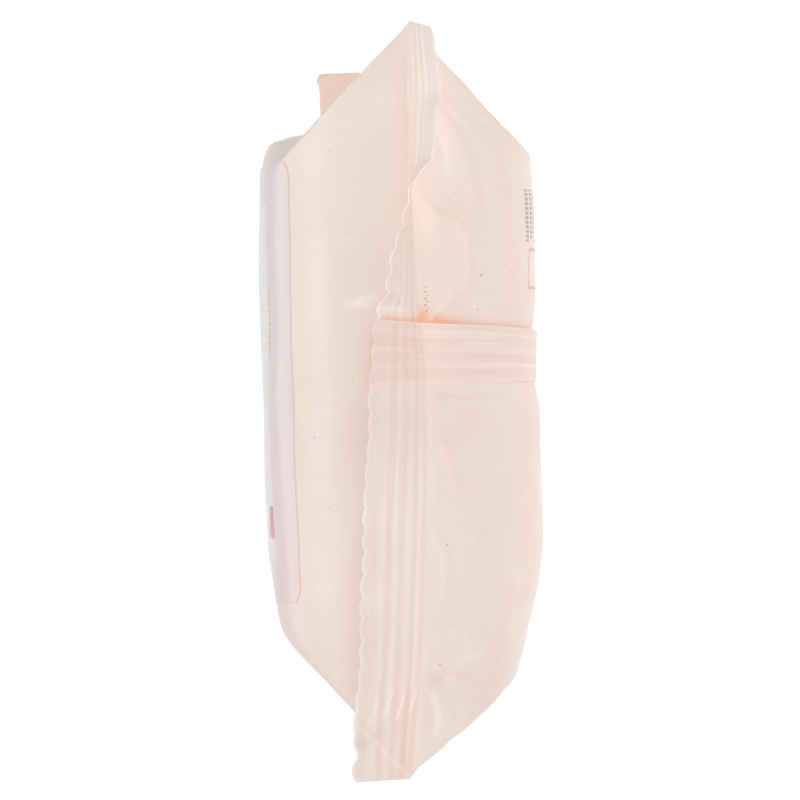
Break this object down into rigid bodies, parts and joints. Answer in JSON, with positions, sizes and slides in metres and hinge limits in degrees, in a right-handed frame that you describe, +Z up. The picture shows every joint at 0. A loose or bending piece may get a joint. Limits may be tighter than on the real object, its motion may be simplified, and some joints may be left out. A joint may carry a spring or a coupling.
{
  "type": "wet wipes pack",
  "caption": "Sealed soft film pack of wet wipes: a filled pillow with crimped zigzag-cut end seals, a folded fin seal along the back and a large reseal label on the front",
  "frame": {"origin": "bottom centre of the bounding box, on the surface that the pack lies on", "axes": "+X across the pack, +Y along the pack from the near end seal to the far one, +Z up through its thickness towards the front label; the pack lies on its back"},
  "size_m": [0.165, 0.2068, 0.0627],
  "materials": {
    "peach_film": "soft satin plastic film in pale peach",
    "label_print": "smooth printed film label in pale lilac and white"
  },
  "bodies": {
    "root": {"wrapper": "peach_film", "reseal_label": "label_print"}
  },
  "joints": []
}
